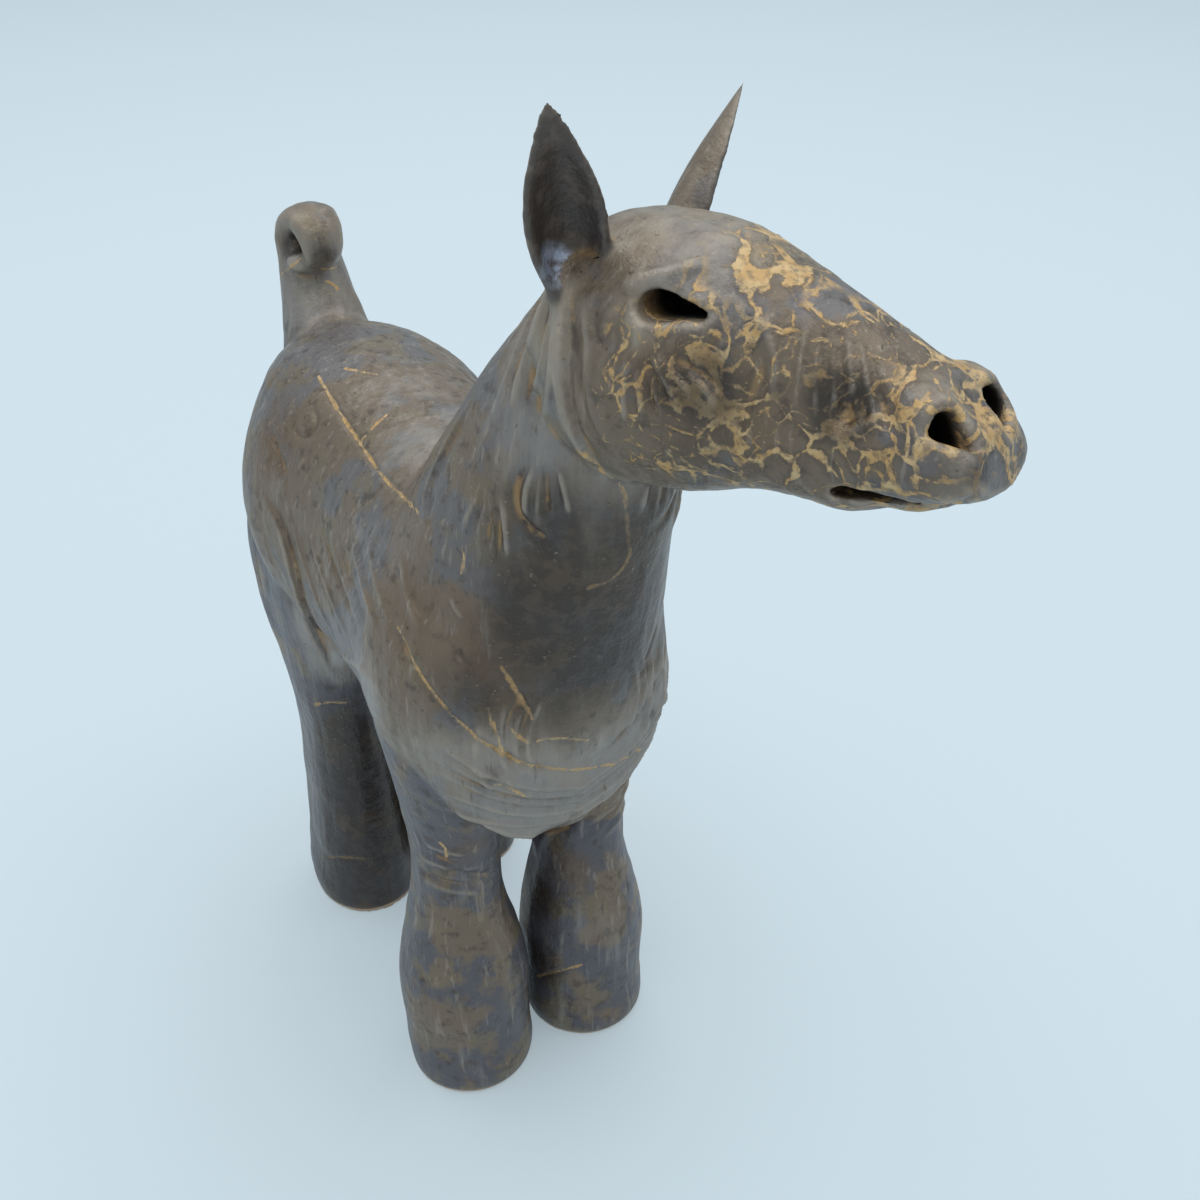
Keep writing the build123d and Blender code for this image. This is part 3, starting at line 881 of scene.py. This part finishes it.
# Pale glaze and painted highlights, lighter where the light falls: the back, the crest, the forehead, the
# skirt and the belly's edge.
PALE_AND_HIGHLIGHT_SPOTS = (
    ("body", 535, 800, 28, 0.8),
    ("body", 450, 765, 18, 0.6),
    ("body", 610, 785, 20, 0.8),
    # Painted highlight along the belly's edge, strong enough to take the painted sheen.
    ("none", 322, 636, 14, 0.9),
    ("none", 342, 658, 14, 1.1),
    ("none", 368, 688, 14, 0.7),
    ("body", 305, 290, 26, 0.5),
    ("body", 545, 430, 26, 0.5),
    ("body", 545, 330, 22, 0.5),
    ("body", 520, 370, 18, 0.45),
    ("body", 425, 440, 22, 0.5),
    ("body", 400, 390, 24, 0.35),
    ("body", 660, 690, 14, 0.7),
    ("none", 590, 925, 13, 0.3),
    ("head", 640, 330, 7, 0.5),
    ("head", 690, 222, 30, 0.5),
    ("head", 955, 395, 7, 0.5),
)
RUST_SPOTS = (
    ("body", 505, 650, 20, 0.7),
    ("body", 545, 590, 15, 0.7),
    ("body", 420, 610, 16, 0.5),
    ("body", 300, 600, 22, 0.5),
    ("body", 270, 440, 24, 0.5),
    ("body", 470, 850, 14, 0.5),
    ("none", 575, 870, 14, 0.5),
    ("head", 655, 368, 12, 0.7),
    ("head", 850, 402, 5, 0.8),
    ("head", 640, 235, 24, 0.4),
    ("head", 720, 440, 22, 0.5),
)


def zone(spots):
    """How strongly each point of the skin takes part in some spots, from 0 to 1."""
    share = np.zeros(len(skin))
    for part, x, y, radius, strength in spots:
        spot = on_skin([(x, y)])
        middles = spot if part == "none" else np.concatenate([spot, mirrored(spot, part)])
        for middle in middles:
            distance = distance_from(middle, skin) / (radius * MM)
            share = np.maximum(share, strength * np.exp(-(distance ** 2)))
    return share


offset = skin - head_origin
head_along = offset @ head_forward
head_lift = offset @ head_up
face = smoothstep(26 * MM, 42 * MM, head_along) * smoothstep(-26 * MM, -14 * MM, head_lift)
crown = smoothstep(15 * MM, 25 * MM, head_lift) * (1 - smoothstep(40 * MM, 60 * MM, head_along))
cup = np.zeros(len(skin))
puddle = np.zeros(len(skin))
for side in SIDES:
    ear = node_points(f"{side}_ear")
    flat_way = np.linalg.svd(ear - ear.mean(axis=0), full_matrices=False)[2][2]
    open_way = flat_way * math.copysign(1, flat_way @ (head_forward + outward(side)))
    mine = owner == piece_names.index(f"{side}_ear")
    cup = np.where(mine, smoothstep(-0.1, 0.3, facing @ open_way), cup)
    front = ear_root(side) + 2 * MM * open_way + 5 * MM * head_up
    near_root = 1 - smoothstep(3.5 * MM, 6.5 * MM, distance_from(front, skin))
    puddle = np.where(mine, near_root * smoothstep(0.0, 0.4, facing @ open_way), puddle)

PAINT = {
    "gold_distance": gold_distance / MM,
    "hollow": hollow / MM,
    "face": face * (1 - 0.85 * crown) * (1 - in_pit),
    # How deep a point lies in an eye or a nostril, for their painted shade.
    "pit": in_pit,
    # Dark and pale zones, with painted shade and painted highlights in them.
    "dark": zone(DARK_AND_SHADE_SPOTS),
    "pale": zone(PALE_AND_HIGHLIGHT_SPOTS),
    "rust": zone(RUST_SPOTS),
    "cup": smoothed(cup, 2),
    "puddle": puddle,
}


# Pieces: the skin cut up along its seams, each with its own thickness

def face_owners():
    """The piece that each face belongs to, with single strays given to their neighbours."""
    return np.sort(owner[quads], axis=1)[:, 1]


def patch_edges(faces):
    """The edges that only one of these faces has, in that face's own direction."""
    pairs = np.concatenate([faces[:, [i, (i + 1) % 4]] for i in range(4)])
    keys = np.sort(pairs, axis=1)
    _, inverse, counts = np.unique(keys, axis=0, return_inverse=True, return_counts=True)
    return pairs[counts[inverse.ravel()] == 1]


def smooth_mesh(name, points, faces, normals):
    """A mesh that is shaded smoothly, with the normals given for its points."""
    mesh = bpy.data.meshes.new(name)
    mesh.from_pydata(points, [], faces)
    mesh.polygons.foreach_set("use_smooth", np.ones(len(faces), bool))
    mesh.normals_split_custom_set_from_vertices(normals.tolist())
    return mesh


def shell_mesh(name, faces, thickness):
    """A closed mesh of some of the skin's faces: outside, inside and rims, with the skin's own normals."""
    used, compact = np.unique(faces, return_inverse=True)
    outside = compact.reshape(-1, 4)
    count = len(used)
    inner_points = skin[used] - np.minimum(wall_limit[used], thickness)[:, None] * inner_facing[used]
    rims = patch_edges(outside)
    rim_faces = np.stack([rims[:, 1], rims[:, 0], rims[:, 0] + count, rims[:, 1] + count], axis=1)
    all_faces = np.concatenate([outside, outside[:, ::-1] + count, rim_faces]).tolist()
    points = np.concatenate([skin[used], inner_points])
    normals = np.concatenate([facing[used], -inner_facing[used]])
    return smooth_mesh(name, points, all_faces, normals), np.concatenate([used, used])


def capped_mesh(name, faces):
    """A closed mesh of some of the skin's faces, with a fan of clay over each open edge."""
    used, compact = np.unique(faces, return_inverse=True)
    outside = compact.reshape(-1, 4)
    rims = patch_edges(outside)
    centre = skin[used][np.unique(rims)].mean(axis=0)
    fan = [(int(b), int(a), len(used)) for a, b in rims]
    points = np.concatenate([skin[used], centre[None]])
    normals = np.concatenate([facing[used], -facing[used].mean(axis=0)[None]])
    return smooth_mesh(name, points, outside.tolist() + fan, normals), np.concatenate([used, used[:1]])


SLOTS = {
    "back_shell": "trunk_glaze",
    "belly_shell": "trunk_glaze",
    "tail": "trunk_glaze",
    "neck_left_slab": "neck_glaze",
    "neck_right_slab": "neck_glaze",
    "hoof_soles": "bare_clay",
}


def slot_of(name):
    """The finish that a piece takes."""
    if name in SLOTS:
        return SLOTS[name]
    on_leg = name.startswith(("front_", "hind_"))
    return "leg_glaze" if on_leg else "head_glaze"


# Glazes

BROWN = (0.168, 0.128, 0.090, 1)
SLATE = (0.140, 0.130, 0.128, 1)
LEG_SLATE = (0.098, 0.095, 0.107, 1)
UMBER = (0.062, 0.046, 0.036, 1)
OLIVE = (0.175, 0.142, 0.088, 1)
RUST = (0.150, 0.100, 0.062, 1)
NIGHT = (0.034, 0.026, 0.021, 1)
# Pale glaze, also the colour of painted highlights.
PALE = (0.330, 0.308, 0.280, 1)
HEAD_PALE = (0.365, 0.318, 0.250, 1)
# Painted highlight: a light sheen for the belly's edge.
PAINTED_SHEEN = (0.50, 0.51, 0.50, 1)
# Pale worn glaze on scratches, also the colour of painted highlights on ridges and of painted glints.
DUST_AND_HIGHLIGHT = (0.36, 0.315, 0.26, 1)
OCHRE = (0.33, 0.205, 0.090, 1)
GOLD = (0.53, 0.335, 0.135, 1)
PALE_GOLD = (0.62, 0.45, 0.235, 1)
# Painted shade: near black deep inside the eyes and nostrils.
PIT_SHADE = (0.012, 0.009, 0.007, 1)
CUP = (0.060, 0.049, 0.045, 1)
PUDDLE = (0.34, 0.38, 0.47, 1)
CLAY = (0.46, 0.33, 0.215, 1)
CUP_FLECK = (0.115, 0.092, 0.078, 1)
DARK_CLAY = (0.30, 0.20, 0.125, 1)
VEIN_CELL = 12.5
FINE_VEIN_CELL = 8.0
VEIN_DRIFT = 22 * MM
NOISE_ROUGHNESS = 0.58


class Paint:
    """The nodes of a material or the world, with a short way to add each kind that the finishes share."""

    def __init__(self, owner):
        self.owner = owner
        owner.use_nodes = True
        self.tree = owner.node_tree
        self.output = self.tree.nodes.get("Material Output") or self.tree.nodes["World Output"]
        self.shader = self.output.inputs["Surface"].links[0].from_node
        self.place = self.add("ShaderNodeTexCoord").outputs["Object"]

    def add(self, kind, inputs=None, **settings):
        """A node with its settings, each input fed by another node or set to a number or colour."""
        node = self.tree.nodes.new(kind)
        for key, value in settings.items():
            setattr(node, key, value)
        for socket, value in (inputs or {}).items():
            if isinstance(value, bpy.types.NodeSocket):
                self.tree.links.new(value, node.inputs[socket])
            else:
                node.inputs[socket].default_value = value
        return node

    def value(self, name):
        """A number stored on the points of the skin."""
        return self.add("ShaderNodeAttribute", attribute_name=name).outputs["Fac"]

    def math(self, operation, first, second):
        """Two numbers worked together."""
        return self.add("ShaderNodeMath", {0: first, 1: second}, operation=operation).outputs[0]

    def times(self, first, second):
        """Two numbers multiplied."""
        return self.math("MULTIPLY", first, second)

    def line(self, value, factor, start):
        """A number times a factor, added to a start."""
        result = self.math("MULTIPLY_ADD", value, factor)
        result.node.inputs[2].default_value = start
        return result

    def vector(self, operation, first, second):
        """Two places or directions worked together, axis by axis."""
        return self.add("ShaderNodeVectorMath", {0: first, 1: second}, operation=operation).outputs[0]

    def noise(self, wavelength, detail=4.0, stretch=(1, 1, 1), seed=0.0):
        """Cloudy noise with patches about as wide as the wavelength, in millimetres."""
        stretched = self.vector("MULTIPLY", self.place, stretch)
        inputs = {"Vector": stretched, "Scale": 1 / (wavelength * MM), "Detail": detail, "W": seed}
        inputs["Roughness"] = NOISE_ROUGHNESS
        return self.add("ShaderNodeTexNoise", inputs, noise_dimensions="4D").outputs[0]

    def band(self, value, low, high):
        """A smooth change from 0 at low to 1 at high, either of which may be the larger."""
        inputs = {"Value": value, "From Min": low, "From Max": high}
        return self.add("ShaderNodeMapRange", inputs, interpolation_type="SMOOTHSTEP").outputs[0]

    def mix(self, share, first, second):
        """From one colour to another, as the share rises from 0 to 1."""
        return self.add("ShaderNodeMix", {0: share, 6: first, 7: second}, data_type="RGBA").outputs[2]

    def lay(self, colour, over, share, strength=1.0):
        """A colour with another laid over it, as far as the share and the strength say."""
        return self.mix(self.times(share, strength), colour, over)

    def set(self, socket, value):
        """Feeds one socket of the shader."""
        self.tree.links.new(value, self.shader.inputs[socket])

    def show(self, shader, share):
        """Lays a share of another shader over this one, only for the camera, reflections and glass."""
        rays = self.add("ShaderNodeLightPath").outputs
        seen = self.math("MAXIMUM", rays["Is Camera Ray"], rays["Is Glossy Ray"])
        seen = self.math("MAXIMUM", seen, rays["Is Transmission Ray"])
        inputs = {0: self.times(seen, share), 1: self.shader.outputs[0], 2: shader}
        mixed = self.add("ShaderNodeMixShader", inputs).outputs[0]
        self.tree.links.new(mixed, self.output.inputs["Surface"])

    def bump(self, height, distance, strength):
        """Fine relief under the shader, from a height of about 0 to 1 and its depth in millimetres."""
        inputs = {"Height": height, "Distance": distance * MM, "Strength": strength}
        self.set("Normal", self.add("ShaderNodeBump", inputs).outputs[0])


def frayed(paint, zone_name, cloud, spread):
    """A colour zone whose soft edge is broken up by a cloud."""
    shifted = paint.line(cloud, spread, -0.5 * spread)
    return paint.band(paint.math("ADD", paint.value(zone_name), shifted), 0.12, 0.62)


def vein_mask(paint, cloud, cell, most, seed):
    """Gold veins: the edges of warped cells, in places wide, in places thin or worn away."""
    inputs = {"Vector": paint.place, "Scale": 55.0, "Detail": 2.0}
    drift = paint.add("ShaderNodeTexNoise", inputs).outputs["Color"]
    centred = paint.vector("SUBTRACT", drift, (0.5, 0.5, 0.5))
    shifted = paint.vector("MULTIPLY", centred, (VEIN_DRIFT, VEIN_DRIFT, VEIN_DRIFT))
    warped = paint.vector("ADD", paint.place, shifted)
    inputs = {"Vector": warped, "Scale": 1 / (cell * MM)}
    cells = paint.add("ShaderNodeTexVoronoi", inputs, feature="DISTANCE_TO_EDGE")
    edge = paint.times(cells.outputs["Distance"], cell)
    width = paint.times(paint.band(cloud, 0.40, 0.66), most)
    ragged = paint.times(paint.noise(2.2, 6.0, seed=7.0), 2.0)
    inside = paint.math("SUBTRACT", paint.math("SUBTRACT", width, ragged), paint.times(edge, 0.6))
    kept = paint.band(paint.noise(24, 2.0, seed=seed), 0.34, 0.44)
    veins = paint.times(paint.band(inside, -1.05, -0.7), kept)
    return veins, paint.times(paint.band(inside, -2.0, -1.2), kept)


def glaze(name, slate, slate_from, pale_colour):
    """The bronze glaze: brown and slate clouds, pale streaks, dark pools and gold in the creases, with
    painted highlights, painted glints and painted shade.
    """
    paint = Paint(bpy.data.materials.new(name))
    broad = paint.noise(34, 6.0)
    middle = paint.noise(15, 5.0, seed=2.0)
    small = paint.noise(5, 5.0, seed=3.0)
    grit = paint.noise(1.3, 3.0, seed=4.0)
    streaks = paint.noise(6, 4.0, stretch=(1, 1, 0.14), seed=5.0)
    hollow = paint.value("hollow")

    colour = paint.mix(paint.band(broad, slate_from, slate_from + 0.055), BROWN, slate)
    colour = paint.lay(colour, OLIVE, paint.band(middle, 0.52, 0.62), 0.7)
    colour = paint.lay(colour, UMBER, paint.band(small, 0.52, 0.66), 0.65)
    colour = paint.lay(colour, RUST, frayed(paint, "rust", middle, 0.9), 0.75)
    # Dark glaze patches and the painted shade of the dark spots, laid in the darkest brown.
    dark = frayed(paint, "dark", middle, 0.5)
    depth = paint.line(paint.band(small, 0.46, 0.62), -0.3, 0.88)
    colour = paint.lay(colour, NIGHT, paint.times(dark, depth))
    off_dark = paint.line(dark, -0.75, 1.0)
    # Painted highlights from the pale spots, over pale streaks of glaze.
    pale = paint.times(frayed(paint, "pale", streaks, 0.9), 0.62)
    thin_streaks = paint.times(paint.band(streaks, 0.58, 0.74), 0.35)
    pale = paint.times(paint.math("MAXIMUM", pale, thin_streaks), off_dark)
    colour = paint.lay(colour, pale_colour, pale)
    # Painted highlight: a light sheen where the pale spots are strongest, as on the belly's edge.
    painted_sheen = paint.math("ADD", paint.value("pale"), paint.times(streaks, 0.9))
    colour = paint.lay(colour, PAINTED_SHEEN, paint.band(painted_sheen, 1.25, 1.9), 0.9)
    scratches = paint.noise(2.2, 3.0, stretch=(1, 1, 0.09), seed=9.0)
    light_lines = paint.times(paint.band(scratches, 0.57, 0.68), paint.band(dark, 0.7, 0.0))
    colour = paint.lay(colour, DUST_AND_HIGHLIGHT, light_lines, 0.35)
    dark_lines = paint.times(paint.band(scratches, 0.40, 0.33), paint.band(middle, 0.44, 0.60))
    colour = paint.lay(colour, UMBER, dark_lines, 0.55)

    crease = paint.band(paint.math("ADD", hollow, paint.times(middle, 0.5)), 0.45, 0.95)
    crease_colour = paint.mix(paint.band(middle, 0.47, 0.55), UMBER, OCHRE)
    colour = paint.lay(colour, crease_colour, crease, 0.8)
    # Raised ridges lighter: pale worn glaze and painted highlight.
    proud = paint.band(paint.math("SUBTRACT", paint.times(small, 0.4), hollow), 0.42, 1.0)
    colour = paint.lay(colour, DUST_AND_HIGHLIGHT, proud, 0.6)
    # Painted glints: tiny pale specks.
    painted_glints = paint.times(paint.band(grit, 0.63, 0.70), paint.band(middle, 0.42, 0.58))
    colour = paint.lay(colour, DUST_AND_HIGHLIGHT, painted_glints, 0.45)
    pores = paint.band(paint.noise(2.4, 2.0, seed=10.0), 0.30, 0.24)
    colour = paint.lay(colour, NIGHT, pores, 0.7)

    ragged_distance = paint.math("ADD", paint.value("gold_distance"), paint.times(small, 2.0))
    worn = paint.band(paint.noise(9, 3.0, seed=6.0), 0.30, 0.38)
    seam_gold = paint.times(paint.band(ragged_distance, 1.85, 1.4), worn)
    veins, halo = vein_mask(paint, middle, VEIN_CELL, 1.12, 8.0)
    fine_veins, _ = vein_mask(paint, broad, FINE_VEIN_CELL, 0.85, 11.0)
    face_share = paint.value("face")
    face_gold = paint.times(paint.math("MAXIMUM", veins, fine_veins), paint.band(face_share, 0.25, 0.7))
    specks = paint.times(paint.band(grit, 0.60, 0.68), paint.band(middle, 0.52, 0.62))
    specks = paint.times(specks, paint.times(face_share, 0.8))
    gold = paint.math("MAXIMUM", seam_gold, paint.math("MAXIMUM", face_gold, specks))
    mottle = paint.line(paint.band(paint.noise(1.9, 5.0, seed=12.0), 0.36, 0.54), 0.62, 0.38)
    gold = paint.times(paint.times(gold, mottle), off_dark)
    colour = paint.lay(colour, UMBER, paint.times(halo, face_share), 0.35)
    gold_colour = paint.mix(paint.band(small, 0.42, 0.62), GOLD, PALE_GOLD)
    colour = paint.lay(colour, gold_colour, gold, 0.92)

    cup_colour = paint.mix(paint.band(small, 0.50, 0.62), CUP, CUP_FLECK)
    colour = paint.lay(colour, cup_colour, paint.value("cup"), 0.88)
    puddle = paint.value("puddle")
    colour = paint.lay(colour, PUDDLE, paint.times(puddle, paint.band(small, 0.35, 0.6)))
    # Painted shade: near black deep inside the eyes and nostrils.
    colour = paint.lay(colour, PIT_SHADE, paint.value("pit"))
    height = paint.add("ShaderNodeSeparateXYZ", {0: paint.place}).outputs["Z"]
    foot = paint.band(paint.math("ADD", height, paint.times(small, 1.2 * MM)), 3.2 * MM, 2.4 * MM)
    paint.set("Base Color", paint.lay(colour, CLAY, foot))

    gloss = paint.line(small, 0.26, 0.29)
    gloss = paint.math("SUBTRACT", gloss, paint.times(dark, 0.12))
    gloss = paint.math("SUBTRACT", gloss, paint.times(puddle, 0.2))
    paint.set("Roughness", paint.math("ADD", gloss, paint.times(gold, 0.12)))
    paint.set("Metallic", paint.line(foot, -0.3, 0.3))
    relief = paint.math("ADD", paint.times(streaks, 0.9), paint.times(grit, 0.35))
    relief = paint.math("ADD", relief, paint.times(small, 0.8))
    paint.bump(paint.math("ADD", relief, paint.times(gold, 0.25)), 0.8, 0.85)
    return paint.owner


def bare_clay():
    """The unglazed body: sandy, with darker grog."""
    paint = Paint(bpy.data.materials.new("bare_clay"))
    grog = paint.noise(1.6, 4.0)
    cloud = paint.noise(14, 3.0, seed=1.0)
    colour = paint.mix(paint.band(cloud, 0.4, 0.62), CLAY, DARK_CLAY)
    paint.set("Base Color", paint.mix(paint.band(grog, 0.58, 0.7), colour, UMBER))
    paint.set("Roughness", paint.band(grog, -2.2, 1.0))
    paint.bump(grog, 0.5, 0.7)
    return paint.owner


finishes = {slot: glaze(slot, SLATE, 0.49, PALE) for slot in ("trunk_glaze", "neck_glaze")}
finishes["head_glaze"] = glaze("head_glaze", SLATE, 0.49, HEAD_PALE)
finishes["leg_glaze"] = glaze("leg_glaze", LEG_SLATE, 0.44, PALE)
finishes["bare_clay"] = bare_clay()


# Every piece, and the bands inside the legs, with its finish

def placed(name, data):
    """A new object in the scene."""
    obj = bpy.data.objects.new(name, data)
    bpy.context.scene.collection.objects.link(obj)
    return obj


def store_paint(mesh, source):
    """Keeps the skin's paint values on the points of a piece."""
    for name, values in PAINT.items():
        data = mesh.attributes.new(name, "FLOAT", "POINT").data
        data.foreach_set("value", values[source].astype(np.float32))


def thin_places():
    """How thick the wall behind each point may be, which is less where the clay itself is thin."""
    tree = BVHTree.FromPolygons(skin.tolist(), quads.tolist())
    limit = np.full(len(skin), SKIN_WALL)
    for i, (point, way) in enumerate(zip(skin, inner_facing)):
        hit = tree.ray_cast(point - 0.1 * MM * way, -way, 3 * SKIN_WALL)
        if hit[0] is not None:
            limit[i] = min(SKIN_WALL, THIN_SHARE * hit[3])
    return np.minimum(limit, smoothed(limit, 3))


inner_facing = unit(smoothed(facing, 12))
wall_limit = thin_places()
owners = face_owners()
for index, name in enumerate(piece_names):
    faces = quads[owners == index]
    if name in CAPPED_NODES:
        mesh, source = capped_mesh(name + "_clay", faces)
    else:
        thickness = THIN_WALL if name in THIN_NODES else SKIN_WALL
        mesh, source = shell_mesh(name + "_clay", faces, thickness)
    store_paint(mesh, source)
    mesh.materials.append(finishes[slot_of(name)])
    piece = placed(name + "_clay", mesh)
    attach(piece, "root")
    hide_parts(name)
for name in INSIDE_NODES:
    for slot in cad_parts[name].material_slots:
        slot.material = finishes["bare_clay"]


# Camera, light and floor

FLOOR = (0.55, 0.655, 0.716, 1)
FLOOR_GLOW = (0.63, 0.755, 0.83, 1)
SHADOW_LIGHTENING = 0.36
FLOOR_REACH = 40
HAZE = (0.466, 0.566, 0.626, 1)
SKY = (0.95, 0.98, 1.0, 1)
SKY_STRENGTH = 0.715
LAMP_PLACE = (-0.4, 0.2, 2.2)
LAMP_SIZE = 3.0
LAMP_POWER = 39


def pale_floor():
    """The floor: matt, with its shadows lightened where it is seen."""
    paint = Paint(bpy.data.materials.new("floor"))
    paint.shader.inputs["Base Color"].default_value = FLOOR
    paint.shader.inputs["Roughness"].default_value = 0.7
    glow = paint.add("ShaderNodeEmission", {"Color": FLOOR_GLOW, "Strength": 1.0}).outputs[0]
    paint.show(glow, SHADOW_LIGHTENING)
    return paint.owner


camera_data = bpy.data.cameras.new("camera")
camera_data.sensor_width = 36
camera_data.lens = 36 * FOCAL_PIXELS / PHOTO_SIZE
camera_data.clip_start = 0.01
camera = placed("camera", camera_data)
camera.location = eye_point
camera.rotation_euler = view.to_euler()
bpy.context.scene.camera = camera

floor_mesh = bpy.data.meshes.new("floor")
corners = [(FLOOR_REACH * x, FLOOR_REACH * y, 0) for x, y in ((-1, -1), (1, -1), (1, 1), (-1, 1))]
floor_mesh.from_pydata(corners, [], [(0, 1, 2, 3)])
floor = placed("floor", floor_mesh)
floor_mesh.materials.append(pale_floor())

world = bpy.data.worlds.new("world")
bpy.context.scene.world = world
sky = Paint(world)
sky.shader.inputs["Color"].default_value = SKY
sky.shader.inputs["Strength"].default_value = SKY_STRENGTH
sky.show(sky.add("ShaderNodeBackground", {"Color": HAZE, "Strength": 1.0}).outputs[0], 1.0)

lamp_data = bpy.data.lights.new("softbox", "AREA")
lamp_data.shape = "SQUARE"
lamp_data.size = LAMP_SIZE
lamp_data.energy = LAMP_POWER
lamp = placed("softbox", lamp_data)
lamp.location = LAMP_PLACE

bpy.context.scene.view_settings.view_transform = "Standard"
